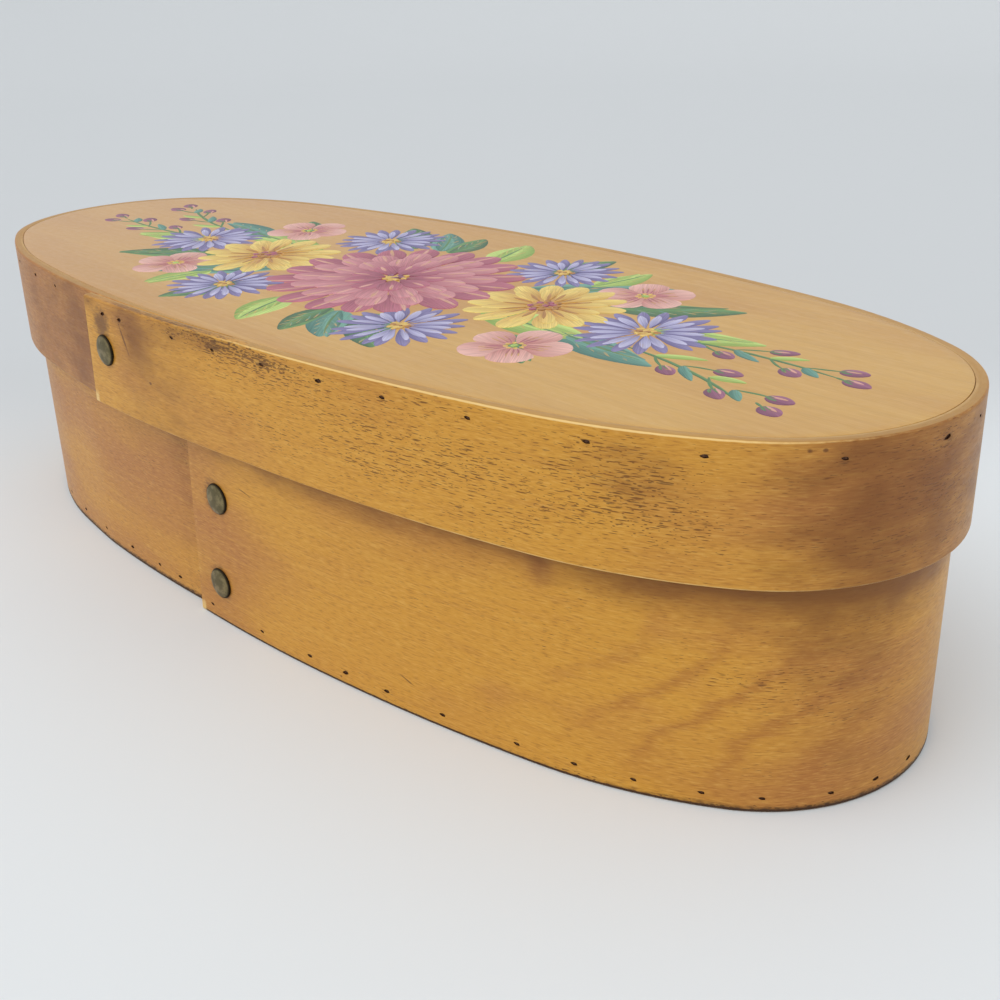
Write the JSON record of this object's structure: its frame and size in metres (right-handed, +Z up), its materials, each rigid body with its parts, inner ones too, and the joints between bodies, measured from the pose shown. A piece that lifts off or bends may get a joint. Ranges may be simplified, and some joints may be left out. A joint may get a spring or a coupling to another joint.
{
  "type": "oval bentwood box",
  "caption": "Long oval box of steam-bent wood veneer with a deep lift-off lid; each band laps at the front and is closed with clinched rivets, and brads hold the boards.",
  "frame": {"origin": "middle of the flat underside", "axes": "+X along the box's length, -Y towards the side that has the laps and rivets, +Z up"},
  "size_m": [0.3724, 0.1477, 0.095],
  "materials": {
    "body_veneer": "honey-stained veneer under satin lacquer",
    "bottom_wood": "plain board under satin lacquer",
    "lid_veneer": "honey-stained veneer under satin lacquer",
    "lid_wood": "pale tan board under satin lacquer",
    "lid_paint": "thin brushed paint, satin",
    "rivet_brass": "dark antiqued brass, satin",
    "brad_iron": "rusty dark iron, matte"
  },
  "bodies": {
    "base": {"body_band": "body_veneer", "bottom_board": "bottom_wood", "bottom_brads": "brad_iron", "body_rivet_upper": "rivet_brass", "body_rivet_lower": "rivet_brass"},
    "lid": {"lid_band": "lid_veneer", "lid_board": "lid_wood", "lid_brads": "brad_iron", "lid_rivet": "rivet_brass"}
  },
  "joints": [
    {"name": "lid_lift", "type": "slide", "parent": "base", "child": "lid", "axis": [0, 0, 1], "range_m": [0, 0.1]}
  ]
}
